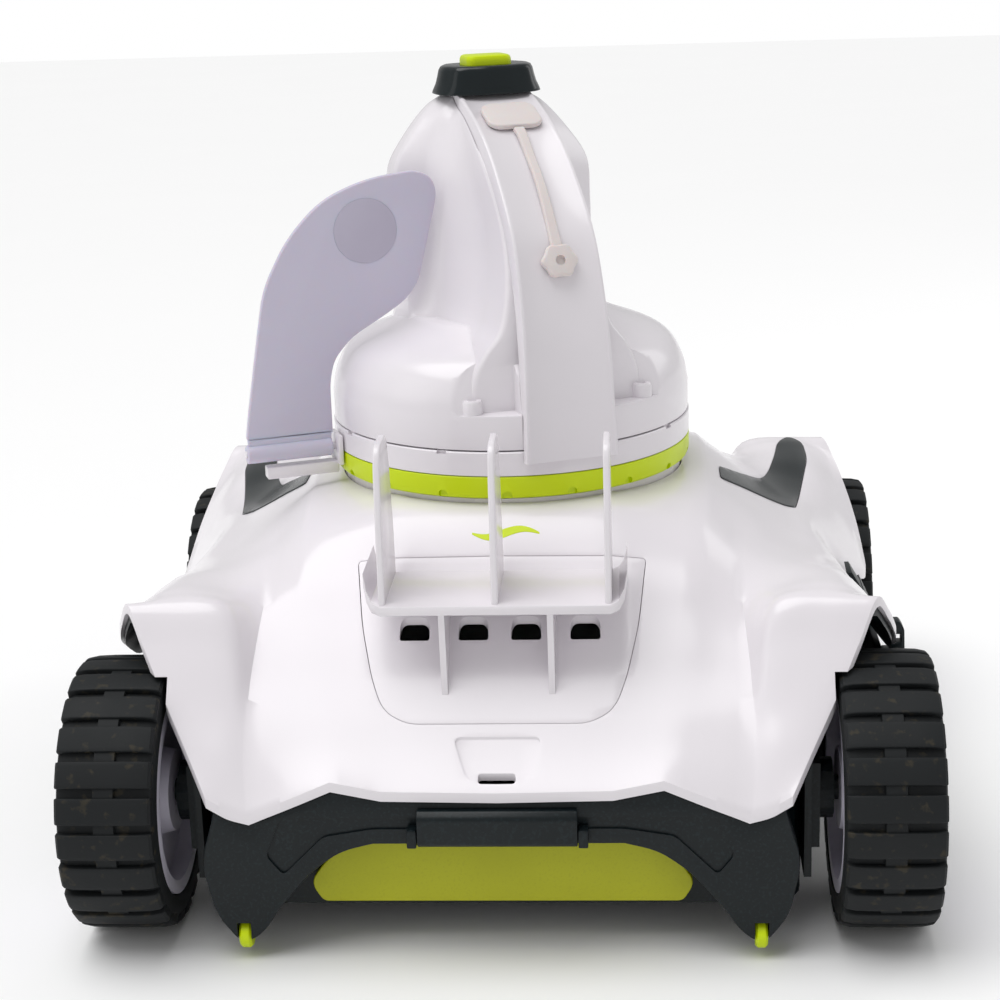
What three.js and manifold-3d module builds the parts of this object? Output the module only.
// Battery pool-floor cleaner: four-wheeled chassis, lift-up cover and a swivelling jet turret.
// Millimetres, +Z up, front towards -Y, origin on the floor under the middle of the machine.
import * as THREE from "three";
import { mergeVertices } from "three/addons/utils/BufferGeometryUtils.js";
import Module from "manifold-3d";

const wasm = await Module();
wasm.setup();

// ---- driving dimensions -------------------------------------------------------------------------
const GAP = 0.4; // between neighbouring fixed pieces
const RUN = 0.1; // radial clearance of a running fit
const WHEEL = { x: 186.5, y: 155, r: 68, rGroove: 64.6, width: 47, lugs: 24, rimR: 52, boreR: 6.12 };
const AXLE = { r: 6, headR: 9, flangeX: 146.5, bossR: 15 };
const TUB = { x: 146, y: 184, z0: 20, z1: 82, wall: 3, corner: 18 };
const SHELL = { rim: 5, holeR: 93, hatchThick: 4 };
const HINGE = { y: 211.5, z: 79.5, x0: 10, x1: 24, r: 4.6, pinR: 2, lugWide: 5 };
const FASCIA = { y0: 191.5, y1: 206.5 };
const INTAKE = { x0: 34, x1: 86, halfY: 14 };
const TRAY = { halfX: 104, halfY: 150, z0: 46, z1: 92, wall: 3, meshZ: 86 };
const SPOILER = { halfX: 60, back: -127, front: -180, top: 173, thick: 6, bladeX: [-54, 0, 54],
  gussetX: [-26, 26] };
const TURRET_DEG = 21.5; // stored heading of the turret, anticlockwise from above
const RING = { r: 97, z0: 201, zLime: 213, zWhite: 226, innerR: 84.5 };
const COLLAR = { rIn: 84.4, rOut: 92.4, flangeR: 100, z0: 180, z1: 200 };
const SPIGOT = { rIn: 72, rOut: 84, z0: 172, flangeR: 90 };
const FLAP = { x0: 101, x1: 149, z: 215, thick: 3.6, pinR: 2, barrelR: 5 };
const MOTOR = { r: 24, z0: 226, z1: 300, shaftR: 4 };
const IMPELLER = { r: 56, z0: 184, z1: 206, hubR: 13, blades: 5 };
const NOZZLE = { z: 318, boreR: 22, outR: 26.4 };
const DUCT = { r: 18, y: 43.5, wall: 2.5 };
const LATCH = { halfX: 38, z0: 63, z1: 81, y0: 207.2, y1: 213.5, pinY: 210, pinZ: 67, pinR: 1.6 };
const BUTTON = { halfX: 12.5, halfY: 10, corner: 4.5, y: 27, z0: 407, z1: 414 };
const FLOAT = { x: -78, z: 329, r: 17 };
const ROLLER = { x: 125, y: 199, z: 12, r: 7.5, width: 6, pinR: 2 };

const CORNERS = { fl: [-1, -1], fr: [1, -1], rl: [-1, 1], rr: [1, 1] };

const FINISH = {
  white: ["#efedf0", 0.28, 0],
  frosted: ["#c9c4d2", 0.5, 0],
  cream: ["#d9d1c8", 0.55, 0],
  black: ["#101a1e", 0.45, 0],
  cap: ["#1e2a2c", 0.35, 0],
  lime: ["#c6de00", 0.35, 0],
  olive: ["#a8a600", 0.5, 0],
  tyre: ["#15191b", 0.85, 0],
  hub: ["#d8d4de", 0.4, 0],
  steel: ["#9a9da0", 0.3, 1],
  board: ["#1f6b45", 0.6, 0],
  foam: ["#aaa6b4", 0.9, 0],
  mesh: ["#d4d6d2", 0.7, 0],
  cell: ["#3c5fa0", 0.5, 0],
};

// ---- solids --------------------------------------------------------------------------------------
function solid(geometry) {
  const g = geometry.clone();
  g.deleteAttribute("normal");
  g.deleteAttribute("uv");
  const merged = mergeVertices(g, 1e-4);
  return new wasm.Manifold(
    new wasm.Mesh({
      numProp: 3,
      vertProperties: new Float32Array(merged.attributes.position.array),
      triVerts: new Uint32Array(merged.index.array),
    }),
  );
}

function toGeometry(manifold) {
  const mesh = manifold.getMesh();
  const g = new THREE.BufferGeometry();
  g.setAttribute("position", new THREE.BufferAttribute(new Float32Array(mesh.vertProperties), 3));
  g.setIndex(new THREE.BufferAttribute(new Uint32Array(mesh.triVerts), 1));
  return g;
}

const joined = (list) => list.slice(1).reduce((a, b) => a.add(b), list[0]);
const cutAll = (body, list) => list.reduce((a, b) => a.subtract(b), body);

// A box given by its low and high corners.
function box(x0, x1, y0, y1, z0, z1) {
  const g = new THREE.BoxGeometry(Math.abs(x1 - x0), Math.abs(y1 - y0), Math.abs(z1 - z0));
  return solid(g.translate((x0 + x1) / 2, (y0 + y1) / 2, (z0 + z1) / 2));
}

// A cylinder between two heights on an axis ("X", "Y" or "Z") through (a, b) on the other two axes.
function cylinder(axis, r, lo, hi, a = 0, b = 0, segments = 32) {
  const g = new THREE.CylinderGeometry(r, r, Math.abs(hi - lo), segments);
  g.translate(0, (lo + hi) / 2, 0);
  if (axis === "Z") g.rotateX(Math.PI / 2).translate(a, b, 0);
  if (axis === "X") g.rotateZ(-Math.PI / 2).translate(0, a, b);
  if (axis === "Y") g.translate(a, 0, b);
  return solid(g);
}

// A closed (radius, height) outline turned about Z.
function turned(profile, segments = 40) {
  const pts = profile.map(([r, z]) => new THREE.Vector2(r, z));
  if (THREE.ShapeUtils.isClockWise(pts)) pts.reverse();
  const onAxis = profile[0][0] === 0;
  if (!onAxis) pts.push(pts[0].clone());
  return solid(new THREE.LatheGeometry(pts, segments).rotateX(Math.PI / 2));
}

function outline(points) {
  const shape = new THREE.Shape();
  points.forEach(([x, y], i) => (i ? shape.lineTo(x, y) : shape.moveTo(x, y)));
  shape.closePath();
  return shape;
}

function roundedRect(halfX, halfY, r, segments = 5) {
  const pts = [];
  for (const [sx, sy, start] of [[1, 1, 0], [-1, 1, 90], [-1, -1, 180], [1, -1, 270]])
    for (let i = 0; i <= segments; i++) {
      const a = THREE.MathUtils.degToRad(start + (90 * i) / segments);
      pts.push([sx * (halfX - r) + r * Math.cos(a), sy * (halfY - r) + r * Math.sin(a)]);
    }
  return pts;
}

const plain = (depth) => ({ depth, bevelEnabled: false, curveSegments: 12 });

// An (x, y) outline raised from z0 to z1.
const prismZ = (points, z0, z1) =>
  solid(new THREE.ExtrudeGeometry(outline(points), plain(z1 - z0)).translate(0, 0, z0));

// An (x, z) outline carried along Y from y0 to y1.
const prismY = (points, y0, y1) =>
  solid(new THREE.ExtrudeGeometry(outline(points), plain(y1 - y0)).rotateX(Math.PI / 2).translate(0, y1, 0));

// A (y, z) outline carried along X from x0 to x1.
const prismX = (points, x0, x1) =>
  solid(new THREE.ExtrudeGeometry(outline(points), plain(x1 - x0)).rotateY(Math.PI / 2).rotateX(Math.PI / 2)
    .translate(x0, 0, 0));

// An anticlockwise outline with every edge moved outwards by "grow".
function grown(points, grow) {
  const n = points.length;
  return points.map(([x, y], i) => {
    const [px, py] = points[(i + n - 1) % n];
    const [qx, qy] = points[(i + 1) % n];
    const a = new THREE.Vector2(y - py, px - x).normalize();
    const b = new THREE.Vector2(qy - y, x - qx).normalize();
    const mid = a.clone().add(b).normalize();
    const reach = grow / Math.max(mid.dot(a), 0.4);
    return [x + mid.x * reach, y + mid.y * reach];
  });
}

const mirrorX = (points) => points.map(([x, z]) => [-x, z]);

// A closed skin between two equal grids of Vector3: top rows and bottom rows, walls round the edge.
function gridSolid(top, bottom) {
  const rows = top.length;
  const cols = top[0].length;
  const position = [];
  for (const grid of [top, bottom]) for (const row of grid) for (const p of row) position.push(p.x, p.y, p.z);
  const at = (layer, i, j) => layer * rows * cols + i * cols + j;
  const index = [];
  const quad = (a, b, c, d) => index.push(a, b, c, a, c, d);
  for (let i = 0; i < rows - 1; i++)
    for (let j = 0; j < cols - 1; j++) {
      quad(at(0, i, j), at(0, i, j + 1), at(0, i + 1, j + 1), at(0, i + 1, j));
      quad(at(1, i, j), at(1, i + 1, j), at(1, i + 1, j + 1), at(1, i, j + 1));
    }
  for (let j = 0; j < cols - 1; j++) {
    quad(at(1, 0, j), at(1, 0, j + 1), at(0, 0, j + 1), at(0, 0, j));
    quad(at(0, rows - 1, j), at(0, rows - 1, j + 1), at(1, rows - 1, j + 1), at(1, rows - 1, j));
  }
  for (let i = 0; i < rows - 1; i++) {
    quad(at(0, i, 0), at(0, i + 1, 0), at(1, i + 1, 0), at(1, i, 0));
    quad(at(1, i, cols - 1), at(1, i + 1, cols - 1), at(0, i + 1, cols - 1), at(0, i, cols - 1));
  }
  const g = new THREE.BufferGeometry();
  g.setAttribute("position", new THREE.Float32BufferAttribute(position, 3));
  g.setIndex(index);
  return solid(g);
}

// A closed skin through rings of Vector3, capped at both ends. Rings go anticlockwise from above, low first.
function loft(rings) {
  const n = rings[0].length;
  const position = [];
  const index = [];
  for (const ring of rings) for (const p of ring) position.push(p.x, p.y, p.z);
  for (let k = 0; k < rings.length - 1; k++)
    for (let i = 0; i < n; i++) {
      const a = k * n + i;
      const b = k * n + ((i + 1) % n);
      index.push(a, b, b + n, a, b + n, a + n);
    }
  const last = (rings.length - 1) * n;
  for (let i = 1; i < n - 1; i++) {
    index.push(0, i + 1, i);
    index.push(last, last + i, last + i + 1);
  }
  const g = new THREE.BufferGeometry();
  g.setAttribute("position", new THREE.Float32BufferAttribute(position, 3));
  g.setIndex(index);
  return solid(g);
}

// ---- cover surface -------------------------------------------------------------------------------
// Half sections of the cover from the waist to the front edge. Each holds its distance from the waist, then
// [x, z] of the middle, the hood's mid line, its crease, the valley, the fender's inner and mid lines and rim.
const SECTIONS = [
  [0, [0, 199], [55, 199], [104, 194], [125, 180], [150, 163], [165, 155], [178, 132]],
  [25, [0, 199], [55, 199], [104, 194], [124, 180], [149, 163], [168, 153], [189, 123]],
  [50, [0, 199], [55, 199], [104, 193], [122, 180], [145, 164], [172, 151], [200, 113]],
  [75, [0, 199], [55, 198], [103, 190], [120, 176], [142, 165], [172, 155], [201, 118]],
  [100, [0, 196], [55, 194], [101, 183], [118, 172], [138, 166], [170, 162], [199, 130]],
  [125, [0, 171], [55, 171], [98.5, 169], [119, 160], [136, 164], [168, 166], [195, 143]],
  [140, [0, 156], [55, 156], [96, 155], [120, 151], [135, 164], [167, 167], [190, 155]],
  [153, [0, 143], [55, 143], [93.5, 143], [121, 141], [134, 163], [160, 166], [183, 166]],
  [165, [0, 131], [55, 131], [90, 131], [122, 130], [131, 144], [151, 148], [173.4, 147.7]],
  [180, [0, 116], [55, 116], [85, 117], [122, 116], [130, 121], [144, 124], [161.4, 125]],
  [195, [0, 101], [55, 101], [82, 103], [121, 98], [132, 103], [141, 104], [149, 104]],
  [208, [0, 89], [55, 90], [79, 95], [119, 78], [129, 81], [135, 84.5], [139, 87]],
];
const COLUMNS = 7;
const SOFT_COLUMN = 3; // from here outwards the section is a smooth curve

// Points of one half section, with a point added between each pair from the valley outwards.
function halfSection(points) {
  const curve = new THREE.CatmullRomCurve3(points.slice(SOFT_COLUMN), false, "centripetal");
  const soft = [];
  const spans = COLUMNS - 1 - SOFT_COLUMN;
  for (let k = 0; k <= spans * 2; k++) soft.push(curve.getPoint(k / (spans * 2)));
  return [...points.slice(0, SOFT_COLUMN), ...soft];
}

// Rows of the whole cover's top surface, from -Y to +Y.
function coverRows() {
  const control = SECTIONS.map(([y, ...pts]) => pts.map(([x, z]) => new THREE.Vector3(x, y, z)));
  const lines = [];
  for (let c = 0; c < COLUMNS; c++) {
    const back = control.map((row) => row[c]);
    const front = back.slice(1).reverse().map((p) => new THREE.Vector3(p.x, -p.y, p.z));
    lines.push(new THREE.CatmullRomCurve3([...front, ...back], false, "centripetal"));
  }
  const total = (SECTIONS.length - 1) * 2;
  const rows = [];
  for (let i = 0; i <= total; i++) {
    const half = halfSection(lines.map((line) => line.getPoint(i / total)));
    const left = half.slice(1).reverse().map((p) => new THREE.Vector3(-p.x, p.y, p.z));
    rows.push([...left, ...half]);
  }
  return rows;
}

const lowered = (rows, drop) => rows.map((row) => row.map((p) => new THREE.Vector3(p.x, p.y, p.z - drop)));

const COVER = coverRows();
const coverSkin = (top, bottom) => gridSolid(lowered(COVER, top), lowered(COVER, bottom));

// Height of the cover's top surface on one row at x, by straight lines between its points.
function heightOn(row, x) {
  for (let j = 1; j < row.length; j++)
    if (x <= row[j].x) {
      const t = (x - row[j - 1].x) / (row[j].x - row[j - 1].x);
      return row[j - 1].z + t * (row[j].z - row[j - 1].z);
    }
  return row[row.length - 1].z;
}

// The hatch's outline in plan at the front, where y is negative.
const HATCH = [[-72, -119], [-68, -145], [-62, -165], [-56, -177], [-44, -182],
  [44, -182], [56, -177], [62, -165], [68, -145], [72, -119]];
const HATCH_Z = [60, 240];
const EXHAUST = { x: [-42, -13, 13, 42], halfX: 6.5, y0: -149, y1: -143 };

const exhaustSlots = () =>
  joined(EXHAUST.x.map((x) => box(x - EXHAUST.halfX, x + EXHAUST.halfX, EXHAUST.y0, EXHAUST.y1, ...HATCH_Z)));

// The finger slot, cut through the cover's front lip.
const fingerSlot = () => box(-9, 9, -204.5, -200.5, 70, 130);

const turnedHalf = (body) => body.rotate([0, 0, 180]);

// Tick-shaped insert on each rear shoulder: a thin arm towards the turret, a broad one up to the fender crest.
const INLAY = [[114, -14], [136, 3], [157, 22], [164, 70], [171, 112], [170, 138], [162, 148],
  [155, 134], [151, 106], [145, 76], [137, 45], [126, 25], [114, 9]];
const INLAY_PROUD = 0.6;
const INLAY_DEEP = 1.8;

// A plan outline carried to one corner of the machine, kept anticlockwise.
function atCorner(points, [sx, sy]) {
  const placed = points.map(([x, y]) => [sx * x, sy * y]);
  return sx * sy < 0 ? placed.reverse() : placed;
}

const inlayPrism = (signs, grow) => prismZ(grown(atCorner(INLAY, signs), grow), 100, 230);

// Room for a wheel, cut from what arches over it.
const WELL = { r: WHEEL.r + 1.8, x0: 161, x1: 215 };
const wheelWell = ([sx, sy]) => cylinder("X", WELL.r, sx * WELL.x0, sx * WELL.x1, sy * WHEEL.y, WHEEL.r, 24);

// A cylinder along the cover's hinge line on side s, reaching "past" beyond the lug at both ends.
const onHinge = (s, r, past) =>
  cylinder("X", r, s * (HINGE.x0 - past), s * (HINGE.x1 + past), HINGE.y, HINGE.z, 20);

function coverHingeLug(s) {
  const web = box(s * HINGE.x0, s * HINGE.x1, FASCIA.y1 + GAP, HINGE.y, HINGE.z, HINGE.z + 7.5);
  return onHinge(s, HINGE.r, 0).add(web).subtract(onHinge(s, HINGE.pinR + RUN, 1));
}

function upperShell() {
  let body = coverSkin(0, SHELL.rim);
  body = body.subtract(cylinder("Z", SHELL.holeR, 150, 260, 0, 0, 44));
  for (const turnedTo of [(b) => b, turnedHalf]) {
    body = body.subtract(turnedTo(prismZ(grown(HATCH, GAP), ...HATCH_Z)));
  }
  body = body.subtract(fingerSlot());
  const pocket = coverSkin(-2, INLAY_DEEP + GAP);
  for (const signs of Object.values(CORNERS)) {
    if (signs[1] > 0) body = body.subtract(pocket.intersect(inlayPrism(signs, GAP)));
    body = body.subtract(wheelWell(signs));
  }
  return joined([largest(body), coverHingeLug(-1), coverHingeLug(1)]);
}

function hatch() {
  return coverSkin(0, SHELL.hatchThick).intersect(prismZ(HATCH, ...HATCH_Z)).subtract(exhaustSlots());
}

const inlay = (signs) => coverSkin(-INLAY_PROUD, INLAY_DEEP).intersect(inlayPrism(signs, 0));

// Shelf with flared ends, three upright blades and two gussets, all standing on the hatch.
function spoiler() {
  const { halfX, back, front, top, thick } = SPOILER;
  const foot = top - thick + 1;
  const corner = 4;
  const plan = [[-halfX, back], [-halfX, front + corner], [corner - halfX, front],
    [halfX - corner, front], [halfX, front + corner], [halfX, back]];
  const blade = [[front + 2, top - 1], [back, top - 1], [-129, 200], [-134, 236], [-139, 245],
    [-147, 249], [-166, 249], [-173, 244], [-176, 234]];
  const gusset = [[-176, foot], [-143, foot], [-143, 150], [-171, 124]];
  const wing = [[front + 2, foot], [-124, foot], [-122, top + 14], [-132, top + 12]];
  const parts = [prismZ(plan, top - thick, top)];
  for (const x of SPOILER.bladeX) parts.push(prismX(blade, x - 1.6, x + 1.6));
  for (const x of SPOILER.gussetX) parts.push(prismX(gusset, x - 1.4, x + 1.4));
  for (const x of [-halfX - 3, halfX]) parts.push(prismX(wing, x, x + 3));
  return joined(parts).intersect(coverSkin(-80, -GAP));
}

function seatCollar() {
  const { rIn, rOut, flangeR, z0, z1 } = COLLAR;
  return turned([[rIn, z0], [flangeR, z0], [flangeR, z0 + 6], [rOut, z0 + 6], [rOut, z1], [rIn, z1]]);
}

// ---- chassis -------------------------------------------------------------------------------------
// Boxes through both intakes, "more" bigger on each side.
function intakeCuts(z0, z1, more = 0) {
  const halfY = INTAKE.halfY + more;
  return joined([-1, 1].map((s) => box(s * (INTAKE.x0 - more), s * (INTAKE.x1 + more), -halfY, halfY, z0, z1)));
}

function chassisTub() {
  const { x, y, corner, wall, z0, z1 } = TUB;
  const outer = prismZ(roundedRect(x, y, corner), z0, z1);
  const inner = prismZ(roundedRect(x - wall, y - wall, corner - wall), z0 + 4, z1 + 1);
  return outer.subtract(inner).subtract(intakeCuts(0, 40));
}

function bottomPlate() {
  return prismZ(roundedRect(118, 168, 20), TUB.z0 - 5, TUB.z0 - GAP).subtract(intakeCuts(0, 40));
}

// Right half of the bumper's lower edge: down the outside of the leg and back up under the tray's arch.
const LEG = [[138, 72], [144, 52], [138, 24], [128, 11], [121, 11],
  [114, 17], [107, 28], [91, 47], [76, 58], [60, 62]];

function fasciaOutline() {
  const edge = COVER[0].filter((p) => Math.abs(p.x) < LEG[0][0]).map((p) => [p.x, p.z - SHELL.rim - GAP]);
  return [...edge.reverse(), ...mirrorX(LEG), ...[...LEG].reverse()];
}

// Lug on side s of a hinged part's end, with the stub pin that goes into it.
function fasciaPivot(s, x, y, z, pinR, lugWide, reach) {
  const lug = box(s * (x + GAP), s * (x + lugWide), -y - 2, -FASCIA.y1 + 1, z - 4, z + 4);
  return lug.add(cylinder("X", pinR, s * (x - reach), s * (x + 1), -y, z, 24));
}

function fascia(withLatch) {
  let body = prismY(fasciaOutline(), -FASCIA.y1, -FASCIA.y0);
  const slot = ROLLER.width / 2 + GAP;
  for (const s of [-1, 1]) {
    const x = s * ROLLER.x;
    const slotTop = ROLLER.z + ROLLER.r + 1;
    body = body.subtract(box(x - slot, x + slot, -FASCIA.y1 - 1, -FASCIA.y0 + 1, 0, slotTop));
    body = body.add(cylinder("X", ROLLER.pinR, x - slot - 1, x + slot + 1, -ROLLER.y, ROLLER.z, 24));
    const pivot = withLatch
      ? fasciaPivot(s, LATCH.halfX, LATCH.pinY, LATCH.pinZ, LATCH.pinR, 5, 5)
      : fasciaPivot(s, HINGE.x1, HINGE.y, HINGE.z, HINGE.pinR, HINGE.lugWide, HINGE.x1 - HINGE.x0 + 1);
    body = body.add(pivot);
  }
  return body;
}

function latch() {
  const { y0, y1, z0, z1, halfX, pinY, pinZ, pinR } = LATCH;
  const section = [[-y1, z0 + 2], [2 - y1, z0], [-y0 - 2.2, z0], [-y0, z0 + 4], [-y0, z1], [3 - y1, z1],
    [-y1, z1 - 3]];
  const bore = (s) => cylinder("X", pinR + RUN, s * (halfX - 6), s * (halfX + 1), -pinY, pinZ, 24);
  return cutAll(prismX(section, -halfX, halfX), [bore(-1), bore(1)]);
}

// One black side moulding: arch liners under both fenders, the skirt down to the tub and the waist panel.
const SKIRT = { innerX: 128, rimInset: 3, halfY: 189, drop: SHELL.rim + 1, thick: 3.5, waistHalfY: 76 };
const WAIST = [[147, 30], [180, 34], [193, 52], [197, 84], [197, 106],
  [193, 106], [193, 84], [189, 54], [178, 38], [147, 34]];

const HUMP = [[190, 90], [197, 90], [197, 112], [186, 131], [183.5, 131], [186, 120], [190, 112]];
const HUMP_FOOT = [[190, 90], [197, 90], [197, 111], [193, 120], [191, 119], [190, 110]];

function sideSkirt() {
  const rows = COVER.filter((row) => Math.abs(row[0].y) <= SKIRT.halfY);
  const top = [];
  const bottom = [];
  for (const row of rows) {
    const span = row[row.length - 1].x - SKIRT.rimInset - SKIRT.innerX;
    const line = [0, 0.25, 0.5, 0.75, 1].map((t) => {
      const x = SKIRT.innerX + t * span;
      return new THREE.Vector3(x, row[0].y, heightOn(row, x) - SKIRT.drop);
    });
    top.push(line);
    bottom.push(line.map((p) => new THREE.Vector3(p.x, p.y, p.z - SKIRT.thick)));
  }
  const liner = gridSolid(top, bottom);
  const underLiner = gridSolid(bottom.map((r) => r.map((p) => new THREE.Vector3(p.x, p.y, p.z + 1))),
    bottom.map((r) => r.map((p) => new THREE.Vector3(p.x, p.y, 10))));
  const wall = box(TUB.x + GAP, TUB.x + 4, -186, 186, 34, 200).intersect(underLiner);
  const waist = prismY(WAIST, -SKIRT.waistHalfY, SKIRT.waistHalfY);
  const hump = prismY(HUMP, -10, 10).add(prismY(HUMP_FOOT, -20, 20));
  const above = coverSkin(-60, SHELL.rim + GAP);
  let body = joined([liner, wall, waist]).subtract(above).add(hump);
  for (const sy of [-1, 1]) body = body.subtract(wheelWell([1, sy]));
  return largest(body);
}

// Trapezoid plate with two square eyes, on the right side only.
function sideBracket() {
  const section = [[197.4, 84], [209.5, 86], [208.6, 116], [206, 120], [202, 120], [202, 104], [197.4, 104]];
  const plate = prismY(section, -60, -52);
  return cutAll(plate, [box(203.6, 207.2, -70, -40, 108, 113), box(203.6, 207.2, -70, -40, 96, 101)]);
}

function wheelCarrier(sx, sy) {
  const y = sy * WHEEL.y;
  const x = (v) => sx * v;
  const flange = box(x(AXLE.flangeX + 4), x(AXLE.flangeX + 8), y - 22, y + 22, 46, 90);
  const boss = cylinder("X", AXLE.bossR, x(AXLE.flangeX + 7), x(162), y, WHEEL.r, 20);
  const axle = cylinder("X", AXLE.r, x(160), x(205), y, WHEEL.r, 20);
  const head = cylinder("X", AXLE.headR, x(203.5), x(206), y, WHEEL.r, 16);
  return joined([flange, boss, axle, head]);
}

function filterTray() {
  const { halfX, halfY, z0, z1, wall } = TRAY;
  const outer = prismZ(roundedRect(halfX, halfY, 12), z0, z1);
  const inner = prismZ(roundedRect(halfX - wall, halfY - wall, 10), z0 + wall, z1 + 1);
  const window = prismZ(roundedRect(30, 130, 6), z0 - 6, z0 + 14);
  return cutAll(outer, [inner, window, intakeCuts(z0 - 6, z0 + 14, 4)]);
}

function filterMesh() {
  const edge = TRAY.wall + 1;
  return prismZ(roundedRect(TRAY.halfX - edge, TRAY.halfY - edge, 9), TRAY.meshZ, TRAY.meshZ + 2);
}

function filterPanel() {
  const half = [[71, 57], [86, 46], [94, 34], [88, 24]];
  return prismY([...half, ...mirrorX(half).reverse()].reverse(), -190.5, -185);
}

function intakeFlap(s) {
  const body = box(s * (INTAKE.x0 - 2), s * (INTAKE.x1 + 2), -INTAKE.halfY - 2, INTAKE.halfY + 2, 24.4, 26.4);
  const barrel = cylinder("Y", 1.8, -INTAKE.halfY - 2, INTAKE.halfY + 2, s * (INTAKE.x0 - 2.5), 26.4, 16);
  return body.add(barrel);
}

function guideRoller(sx, sy) {
  const x = sx * ROLLER.x;
  const half = ROLLER.width / 2;
  const y = sy * ROLLER.y;
  return cylinder("X", ROLLER.r, x - half, x + half, y, ROLLER.z, 28)
    .subtract(cylinder("X", ROLLER.pinR + RUN, x - half - 1, x + half + 1, y, ROLLER.z, 24));
}

// ---- wheels --------------------------------------------------------------------------------------
function tyre(sx, sy) {
  const pts = [];
  const pitch = (2 * Math.PI) / WHEEL.lugs;
  const lug = pitch * 0.76;
  for (let i = 0; i < WHEEL.lugs; i++) {
    const start = i * pitch; // a lug's corner stands exactly under the axle, so the tyre touches Z = 0
    for (const [a, r] of [[0, WHEEL.rGroove], [0, WHEEL.r], [lug, WHEEL.r], [lug, WHEEL.rGroove]])
      pts.push([r * Math.cos(start + a), r * Math.sin(start + a)]);
  }
  const half2 = WHEEL.width / 2;
  const band = prismX(pts.map(([y, z]) => [y, z]), sx * WHEEL.x - half2, sx * WHEEL.x + half2);
  const hole = cylinder("X", WHEEL.rimR, sx * WHEEL.x - half2 - 1, sx * WHEEL.x + half2 + 1, 0, 0, 30);
  return band.subtract(hole).translate([0, sy * WHEEL.y, WHEEL.r]);
}

function hub(sx, sy) {
  const [inner, outer, boss] = [163.5, 208, 202.5];
  const r = WHEEL.rimR - GAP;
  const profile = [[WHEEL.boreR, 165], [20, 165], [22, 172], [45, 172], [45, inner], [r, inner], [r, outer],
    [46, outer], [44, 180], [18, 178], [WHEEL.boreR + 7, boss], [WHEEL.boreR, boss]];
  const made = turned(profile, 20).rotate([0, 90, 0]);
  return (sx < 0 ? turnedHalf(made) : made).translate([0, sy * WHEEL.y, WHEEL.r]);
}

// ---- turret (built facing -Y, turned to its stored heading at the end) ------------------------------
const BAND_PATH = [[-99, 220], [-98.5, 235], [-97, 252], [-94, 280], [-88, 304],
  [-77.5, 330], [-56, 355], [-30, 376], [8, 393], [34, 399]];
const BAND = { halfLow: 25, halfHigh: 20, thick: [4, 5, 7.5, 9] };

// The strap over the front of the tower, grown sideways and inwards by "grow".
function bandSolid(grow) {
  const path = BAND_PATH.map(([y, z]) => new THREE.Vector2(y, z));
  const rings = path.map((p, i) => {
    const before = path[Math.max(i - 1, 0)];
    const after = path[Math.min(i + 1, path.length - 1)];
    const along = after.clone().sub(before).normalize();
    const inward = new THREE.Vector2(along.y, -along.x);
    const half = THREE.MathUtils.lerp(BAND.halfLow, BAND.halfHigh, i / (path.length - 1)) + grow;
    const out = p.clone().addScaledVector(inward, -grow);
    const thick = BAND.thick[Math.min(i, BAND.thick.length - 1)];
    const deep = p.clone().addScaledVector(inward, thick + grow);
    return [
      new THREE.Vector3(-half, out.x, out.y),
      new THREE.Vector3(half, out.x, out.y),
      new THREE.Vector3(half, deep.x, deep.y),
      new THREE.Vector3(-half, deep.x, deep.y),
    ];
  });
  return loft(rings);
}

// Plan sections of the tower: height, half width at the back, spine half width, front y, waist y, back y.
const TOWER_LEVELS = [
  [262, 66, 44, -80, -18, 70],
  [274, 58, 38, -81, -8, 70],
  [285, 54, 30, -81, 2, 70],
  [310, 54, 24, -75, 8, 68],
  [335, 55, 22, -62, 12, 66],
  [356, 55, 22, -43, 16, 62],
  [372, 46, 22, -23, 20, 56],
  [388, 32, 20, 4, 24, 50],
  [393, 24, 16, 15, 26, 46],
];

function towerRing([z, wide, spine, front, waist, back], inset) {
  const w = wide - inset;
  const s = Math.max(spine - inset, 3);
  const f = front + inset;
  const b = back - inset;
  const half = [[s * 0.5, f], [s, f + 3], [s + 1, (f + waist) / 2], [(s + w) / 2, waist - 6],
    [w, waist + inset + 4], [w, (waist + b) / 2], [w * 0.8, b - 8], [w * 0.4, b]];
  const left = half.map(([x, y]) => [-x, y]).reverse();
  return [...half, ...left].map(([x, y]) => new THREE.Vector3(x, y, z));
}

function drumRing(r, z) {
  const n = 16;
  return Array.from({ length: n }, (_, i) => {
    const a = ((i + 0.5) / n) * 2 * Math.PI - Math.PI / 2;
    return new THREE.Vector3(r * Math.cos(a), r * Math.sin(a), z);
  });
}

const DRUM = [[96.5, 226.5], [96.5, 241], [94, 253], [86, 266], [64, 276], [52, 281]];

function towerShell() {
  const drum = turned([[0, DRUM[0][1]], ...DRUM, [0, 281]]);
  const drumInner = turned([[0, 220], [93, 220], [93, 241], [90, 252], [82, 263], [60, 272.5], [0, 275]]);
  const tower = loft(TOWER_LEVELS.map((level) => towerRing(level, 0)));
  const towerInner = loft(TOWER_LEVELS.map(([z, ...rest]) => towerRing([z - 3.4, ...rest], 3)));
  let body = drum.add(tower).subtract(drumInner).subtract(towerInner);
  body = body.subtract(bandSolid(GAP));
  body = body.subtract(cylinder("Y", NOZZLE.outR + GAP + 0.2, 40, 120, 0, NOZZLE.z, 40));
  return largest(body);
}

// The biggest separate piece of a solid; slivers left by a cut are dropped.
function largest(body) {
  const pieces = body.decompose();
  return pieces.reduce((a, b) => (a.volume() > b.volume() ? a : b));
}

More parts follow.
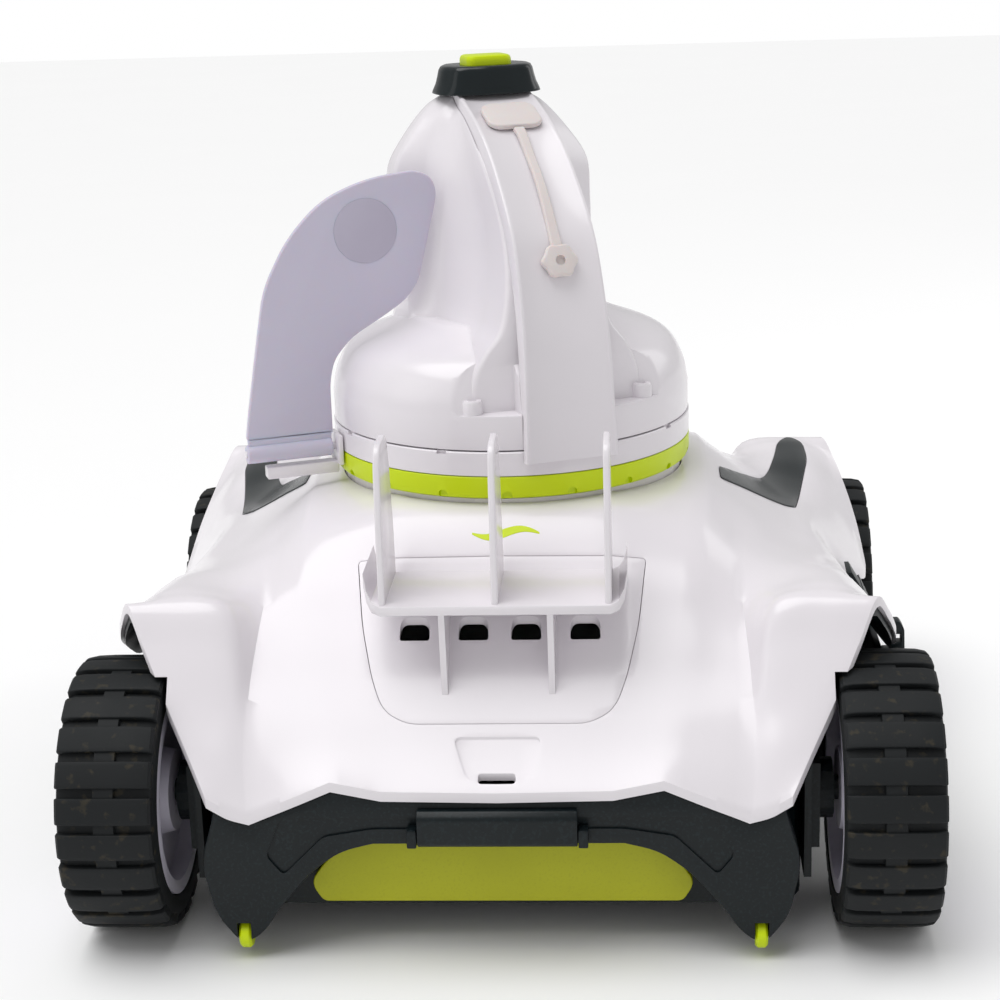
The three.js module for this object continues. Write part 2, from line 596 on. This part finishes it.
// Jet outlet on the tower's back with the duct that brings the water up behind the motor.
function nozzle() {
  const { z, boreR, outR } = NOZZLE;
  const barrel = [[0, 0], [outR, 0], [outR, 42], [29, 43], [29, 54], [0, 54]];
  const tube = turned(barrel, 28).rotate([-90, 0, 0]).translate([0, 30, z]);
  const leg = cylinder("Z", DUCT.r, 226.2, z, 0, DUCT.y, 28);
  const jet = cylinder("Y", boreR, 33, 90, 0, z, 28);
  const duct = cylinder("Z", DUCT.r - DUCT.wall, 220, z, 0, DUCT.y, 28);
  return cutAll(tube.add(leg), [jet, duct]);
}

function trimRing() {
  const { r, z0, innerR } = RING;
  const z1 = RING.zLime - GAP;
  return turned([[innerR, z0], [r - 1, z0], [r, z0 + 3], [r, z1], [innerR, z1]]);
}

const STEP_R = 92; // the base ring's inner step, which holds the seal

function baseRing() {
  const { r, zLime, zWhite, innerR } = RING;
  const top = zWhite - GAP;
  const step = zWhite - 6;
  const profile = [[innerR, zLime], [r, zLime], [r, top], [STEP_R, top], [STEP_R, step], [innerR, step]];
  return turned(profile).subtract(bandSolid(GAP));
}

function sealRing() {
  const [z0, z1] = [RING.zWhite - 5.6, RING.zWhite - 1.5];
  return turned([[STEP_R - 3, z0], [STEP_R - 0.5, z0], [STEP_R - 0.5, z1], [STEP_R - 3, z1]]);
}

// Tube that carries the turret in the collar, with a flange below and a floor above.
function spigot() {
  const { rIn, rOut, flangeR, z0 } = SPIGOT;
  const [floor, top] = [221, 225.6];
  const profile = [[rIn, z0], [flangeR, z0], [flangeR, z0 + 6], [rOut, z0 + 6],
    [rOut, top], [5, top], [5, floor], [rIn, floor]];
  return turned(profile).subtract(cylinder("Z", DUCT.r - 3, 200, 230, 0, DUCT.y));
}

function handleCap() {
  const levels = [[29, 22, 394.4], [27, 20.5, 399], [25, 19, 409]];
  const rings = levels.map(([a, b, z]) =>
    drumRing(1, z).map((p) => new THREE.Vector3(p.x * a, BUTTON.y + p.y * b, z)));
  const [wellX, wellY] = [BUTTON.halfX + GAP, BUTTON.halfY + GAP];
  const well = box(-wellX, wellX, BUTTON.y - wellY, BUTTON.y + wellY, BUTTON.z0 - 3, 420);
  return cutAll(loft(rings), [well, bandSolid(GAP)]);
}

function powerButton() {
  const plan = roundedRect(BUTTON.halfX, BUTTON.halfY, BUTTON.corner).map(([x, y]) => [x, y + BUTTON.y]);
  return prismZ(plan, BUTTON.z0, BUTTON.z1);
}

function onBand(index, t, lift) {
  const a = BAND_PATH[index];
  const b = BAND_PATH[index + 1];
  const dir = new THREE.Vector2(b[0] - a[0], b[1] - a[1]).normalize();
  const out = new THREE.Vector2(-dir.y, dir.x);
  return {
    y: THREE.MathUtils.lerp(a[0], b[0], t) + out.x * lift,
    z: THREE.MathUtils.lerp(a[1], b[1], t) + out.y * lift,
    angle: Math.atan2(dir.y, dir.x),
  };
}

function plateOnBand(shapePoints, at, thick) {
  const g = new THREE.ExtrudeGeometry(outline(shapePoints), plain(thick));
  g.rotateX(at.angle);
  g.translate(0, at.y, at.z);
  return solid(g);
}

function portCap() {
  const at = onBand(7, 0.42, 0.5);
  return plateOnBand(roundedRect(15, 12, 8), at, 3);
}

function portStrap() {
  const runs = [];
  const stops = [[4, 0.8], [5, 0.5], [5, 1], [6, 1], [7, 0.08]];
  const centre = stops.map(([index, t]) => onBand(index, t, 0.5));
  for (let i = 0; i < centre.length - 1; i++) {
    const a = centre[i];
    const b = centre[i + 1];
    const length = Math.hypot(b.y - a.y, b.z - a.z);
    const angle = Math.atan2(b.z - a.z, b.y - a.y);
    runs.push(plateOnBand([[-3, -1], [3, -1], [3, length + 1], [-3, length + 1]], { ...a, angle }, 2.6));
  }
  const knobAt = onBand(4, 0.55, 0.5);
  runs.push(plateOnBand(roundedRect(9, 9, 8.9), knobAt, 4.5));
  return joined(runs).subtract(bandSolid(0));
}

const batteryPack = (s) =>
  prismZ(roundedRect(18, 30, 6).map(([x, y]) => [x + s * 54, y]), 228, 262);

const controlBoard = () => prismZ([[-34, 28], [34, 28], [34, 50], [-34, 50]], 348, 350);

// ---- flap ----------------------------------------------------------------------------------------
const FLAP_EDGE = [[-101, 222], [-148, 222], [-146, 236], [-138, 281], [-134, 302], [-120.5, 327],
  [-101, 346.5], [-76, 356], [-50, 358.7], [-41, 355], [-38, 346], [-50, 300], [-57, 291], [-68, 284],
  [-88, 273], [-98, 262], [-101, 250]];

function flapPlate() {
  const half = FLAP.thick / 2;
  const plate = prismY(FLAP_EDGE, -half, half);
  const barrel = cylinder("X", FLAP.barrelR, -FLAP.x1 + 1, -FLAP.x0 - 1, 0, FLAP.z, 32);
  const web = box(-FLAP.x1 + 2, -FLAP.x0 - 1, -half, half, FLAP.z, 224);
  const bore = cylinder("X", FLAP.pinR + RUN, -FLAP.x1 - 1, -FLAP.x0 + 1, 0, FLAP.z, 32);
  const disc = cylinder("Y", FLOAT.r + GAP, -half - 1, -half + 1.2, FLOAT.x, FLOAT.z, 40);
  return joined([plate, web, barrel]).subtract(bore).subtract(disc);
}

// Foam disc let into the flap's front face.
function flapFloat() {
  const face = -FLAP.thick / 2;
  return cylinder("Y", FLOAT.r, face - 0.6, face + 0.8, FLOAT.x, FLOAT.z, 40);
}

// Bracket on the ring's left with the fixed pin the flap turns on.
function flapBracket() {
  const block = box(-100, -97.5, -9, 9, 206, 222);
  const pin = cylinder("X", FLAP.pinR, -FLAP.x1 + 0.5, -99, 0, FLAP.z, 32);
  const tab = box(-138, -99, -4, 4, 201, 207.5);
  return joined([block, pin, tab]);
}

// ---- drive ---------------------------------------------------------------------------------------
function motor() {
  const { r, z0, z1, shaftR } = MOTOR;
  const can = turned([[0, z0], [r, z0], [r, z1 - 4], [r - 4, z1], [0, z1]]);
  const shaft = cylinder("Z", shaftR, IMPELLER.z0 + 2, z0 + 1, 0, 0, 24);
  return can.add(shaft);
}

function impeller() {
  const { r, z0, z1, hubR, blades } = IMPELLER;
  const blade = box(hubR - 2, r, -1.5, 1.5, -10, 10).rotate([40, 0, 0]).translate([0, 0, (z0 + z1) / 2]);
  const parts = [cylinder("Z", hubR, z0, z1, 0, 0, 24)];
  for (let i = 0; i < blades; i++) parts.push(blade.rotate([0, 0, (i * 360) / blades]));
  return joined(parts).subtract(cylinder("Z", MOTOR.shaftR + RUN, 0, 400, 0, 0, 24));
}

// ---- assembly ------------------------------------------------------------------------------------
const root = new THREE.Group();
root.name = "pool_cleaner";

function put(name, body, finish, turretPiece = false) {
  const [color, roughness, metalness] = FINISH[finish];
  const placed = turretPiece ? body.rotate([0, 0, TURRET_DEG]) : body;
  const material = new THREE.MeshStandardMaterial({ color, roughness, metalness });
  const mesh = new THREE.Mesh(toGeometry(placed), material);
  mesh.name = name;
  root.add(mesh);
}

put("chassis_tub", chassisTub(), "black");
put("bottom_plate", bottomPlate(), "black");
put("fascia_front", fascia(true), "black");
put("fascia_rear", turnedHalf(fascia(false)), "black");
put("latch_front", latch(), "black");
put("side_skirt_right", sideSkirt(), "black");
put("side_skirt_left", sideSkirt().rotate([0, 0, 180]), "black");
put("side_bracket", sideBracket(), "black");
put("filter_tray", filterTray(), "black");
put("filter_mesh", filterMesh(), "mesh");
put("filter_panel_front", filterPanel(), "olive");
put("filter_panel_rear", turnedHalf(filterPanel()), "olive");
put("intake_flap_left", intakeFlap(-1), "tyre");
put("intake_flap_right", intakeFlap(1), "tyre");
for (const [corner, [sx, sy]] of Object.entries(CORNERS)) {
  put("wheel_carrier_" + corner, wheelCarrier(sx, sy), "black");
  put("hub_" + corner, hub(sx, sy), "hub");
  put("tyre_" + corner, tyre(sx, sy), "tyre");
  put("guide_roller_" + corner, guideRoller(sx, sy), "lime");
}
put("upper_shell", upperShell(), "white");
put("hatch_front", hatch(), "white");
put("hatch_rear", turnedHalf(hatch()), "white");
put("spoiler_front", spoiler(), "white");
put("spoiler_rear", turnedHalf(spoiler()), "white");
for (const corner of ["rl", "rr"]) put("inlay_" + corner, inlay(CORNERS[corner]), "cap");
put("seat_collar", seatCollar(), "white");
put("spigot", spigot(), "black", true);
put("trim_ring", trimRing(), "lime", true);
put("base_ring", baseRing(), "white", true);
put("seal_ring", sealRing(), "tyre", true);
put("tower_shell", towerShell(), "white", true);
put("handle_band", bandSolid(0), "white", true);
put("handle_cap", handleCap(), "cap", true);
put("power_button", powerButton(), "lime", true);
put("port_cap", portCap(), "cream", true);
put("port_strap", portStrap(), "cream", true);
put("outlet_nozzle", nozzle(), "cap", true);
put("flap", flapPlate(), "frosted", true);
put("flap_float", flapFloat(), "foam", true);
put("flap_bracket", flapBracket(), "white", true);
put("motor", motor(), "steel", true);
put("impeller", impeller(), "black", true);
put("battery_left", batteryPack(-1), "cell", true);
put("battery_right", batteryPack(1), "cell", true);
put("control_board", controlBoard(), "board", true);

export default root;
